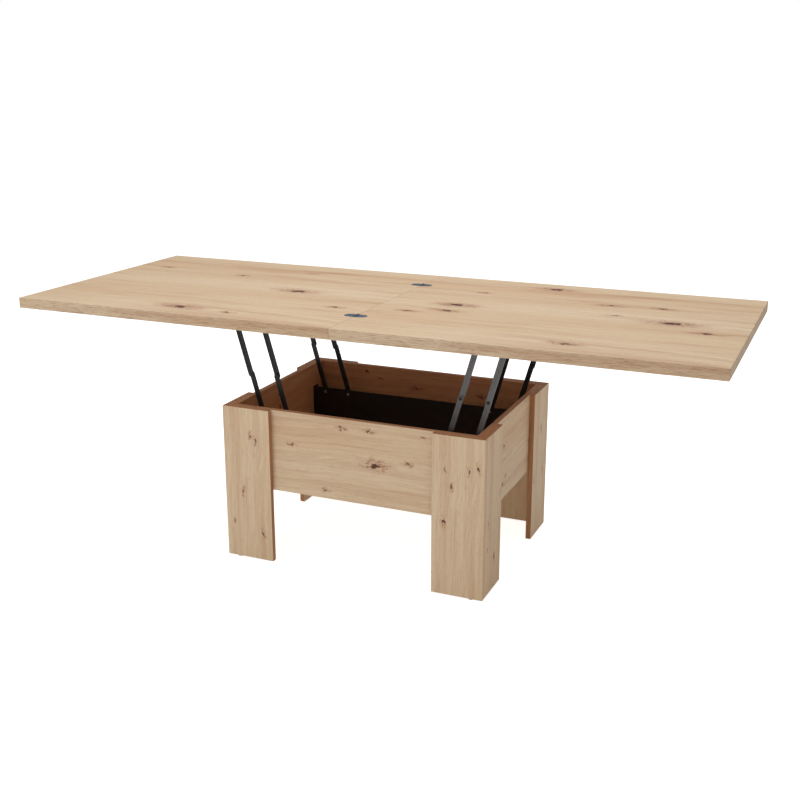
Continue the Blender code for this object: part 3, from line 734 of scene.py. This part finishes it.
def knee_of(lower, upper, base, top):
    """The knee lies on the line from base pivot to top pivot, about where both round ends meet."""
    level = (lower[1][2] + upper[0][2]) / 2
    part = (level - base.z) / (top.z - base.z)
    return base.lerp(top, part)


def knee_span(lower, upper, row_sign, pair):
    """The outer faces of the two arms at the knee, from the middle of the table outward."""
    thickness = upper[1][1] - upper[0][1]
    outward = 1 if row_sign > 0 else 0
    lower_far = lower[outward][1]
    upper_near = upper[1 - outward][1]
    upper_far = upper[outward][1]
    if pair == "inner":
        return upper_near, lower_far
    return lower_far - row_sign * thickness, upper_far


SCREW_RADIUS = 0.0031
SCREW_HEAD = 0.0007
SCREW_SINK = 0.0003
SCREW_FROM_END = 0.014
SCREW_OFFSETS = (-0.0075, 0.0075)


def add_hinge_screws():
    """Two small screws hold each hinge plate."""
    for row in ROWS:
        for side, side_sign in SIDES.items():
            low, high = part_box(f"hinge_{row}_{side}")
            body = "left_leaf" if side == "left" else "right_leaf"
            reach = max(abs(low[0]), abs(high[0]))
            middle = (low[1] + high[1]) / 2
            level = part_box("top_leaf_left")[1][2] - SCREW_SINK
            for number, offset in enumerate(SCREW_OFFSETS):
                head = cross_screw(SCREW_RADIUS, SCREW_HEAD)
                place = (side_sign * (reach - SCREW_FROM_END), middle + offset, level)
                head.transform(Matrix.Translation(place))
                new_piece(f"hinge_screw_{row}_{side}_{number}", head, HINGE_STEEL, body)


def build_fittings():
    add_arm_rivets()
    add_hinge_screws()


# ---- studio -------------------------------------------------------------------------------------

CAMERA_PLACE = (1.2743, -2.9022, 1.3987)
CAMERA_DOWN = 0.28199
CAMERA_TURN = 0.40336
CAMERA_LENS = 50.55
CAMERA_SHIFT = (-0.0029, -0.0164)

FILL_STRENGTH = 0.37
FLOOR_EMISSION = 0.12
FLOOR_GLOW = 0.70
FLOOR_SIZE = 40.0


def set_camera():
    data = bpy.data.cameras.new("camera")
    data.lens = CAMERA_LENS
    data.shift_x, data.shift_y = CAMERA_SHIFT
    camera = bpy.data.objects.new("camera", data)
    camera.location = CAMERA_PLACE
    camera.rotation_euler = (math.pi / 2 - CAMERA_DOWN, 0.0, CAMERA_TURN)
    bpy.context.scene.collection.objects.link(camera)
    bpy.context.scene.camera = camera


def soft_light(name, place, aim, size, power, tint=(1.0, 1.0, 1.0)):
    """A round soft light that looks at a point; its power is in watts."""
    data = bpy.data.lights.new(name, "AREA")
    data.shape = "DISK"
    data.size = size
    data.energy = power
    data.color = tint
    light = bpy.data.objects.new(name, data)
    light.location = place
    light.rotation_euler = (Vector(aim) - Vector(place)).to_track_quat("-Z", "Y").to_euler()
    bpy.context.scene.collection.objects.link(light)


def set_studio():
    """White surroundings, a pale floor and large soft lights."""
    world = bpy.data.worlds.new("studio")
    world.use_nodes = True
    bench = Bench(world.node_tree)
    fill = world.node_tree.nodes["Background"]
    fill.inputs["Color"].default_value = (1.0, 1.0, 1.0, 1.0)
    fill.inputs["Strength"].default_value = FILL_STRENGTH
    seen = bench.place("ShaderNodeBackground")
    seen.inputs["Color"].default_value = (1.0, 1.0, 1.0, 1.0)
    seen.inputs["Strength"].default_value = 1.0
    pick = bench.place("ShaderNodeMixShader")
    path = bench.place("ShaderNodeLightPath")
    bench.feed(pick.inputs[0], path.outputs["Is Camera Ray"])
    bench.feed(pick.inputs[1], fill.outputs[0])
    bench.feed(pick.inputs[2], seen.outputs[0])
    output = world.node_tree.nodes["World Output"]
    bench.feed(output.inputs["Surface"], pick.outputs[0])
    bpy.context.scene.world = world
    bpy.context.scene.view_settings.view_transform = "Standard"

    soft_light("overhead light", (0.15, 0.4, 3.9), (0.0, 0.0, 0.7), 2.0, 50.0, (1.0, 0.99, 0.985))
    soft_light("front light", (-1.5, -3.2, 3.4), (0.0, -0.2, 0.3), 1.8, 45.0)

    floor_data = bpy.data.meshes.new("floor")
    plane = bmesh.new()
    bmesh.ops.create_grid(plane, x_segments=2, y_segments=2, size=FLOOR_SIZE)
    plane.to_mesh(floor_data)
    plane.free()
    floor = bpy.data.objects.new("floor", floor_data)
    bpy.context.scene.collection.objects.link(floor)
    floor.data.materials.append(pale_floor_finish())


def pale_floor_finish():
    """A matt floor that gives off light, more of it toward the camera."""
    finish, bench, shader, place, _ = new_finish("pale floor")
    speck = bench.noise(place, scale=30.0, detail=3.0)
    bench.feed(shader.inputs["Base Color"], bench.tint(speck, FLOOR_LOW, FLOOR_HIGH))
    shader.inputs["Roughness"].default_value = 0.9
    shader.inputs["Specular IOR Level"].default_value = 0.0
    shader.inputs["Emission Color"].default_value = (1.0, 1.0, 1.0, 1.0)
    shader.inputs["Emission Strength"].default_value = FLOOR_EMISSION
    glow = bench.place("ShaderNodeEmission")
    glow.inputs["Strength"].default_value = FLOOR_GLOW
    both = bench.place("ShaderNodeAddShader")
    bench.feed(both.inputs[0], shader.outputs[0])
    bench.feed(both.inputs[1], glow.outputs[0])
    pick = bench.place("ShaderNodeMixShader")
    path = bench.place("ShaderNodeLightPath")
    bench.feed(pick.inputs[0], path.outputs["Is Camera Ray"])
    bench.feed(pick.inputs[1], shader.outputs[0])
    bench.feed(pick.inputs[2], both.outputs[0])
    bench.feed(finish.node_tree.nodes["Material Output"].inputs["Surface"], pick.outputs[0])
    return finish


set_camera()
set_studio()
coat_wood()
coat_metal()
build_fittings()
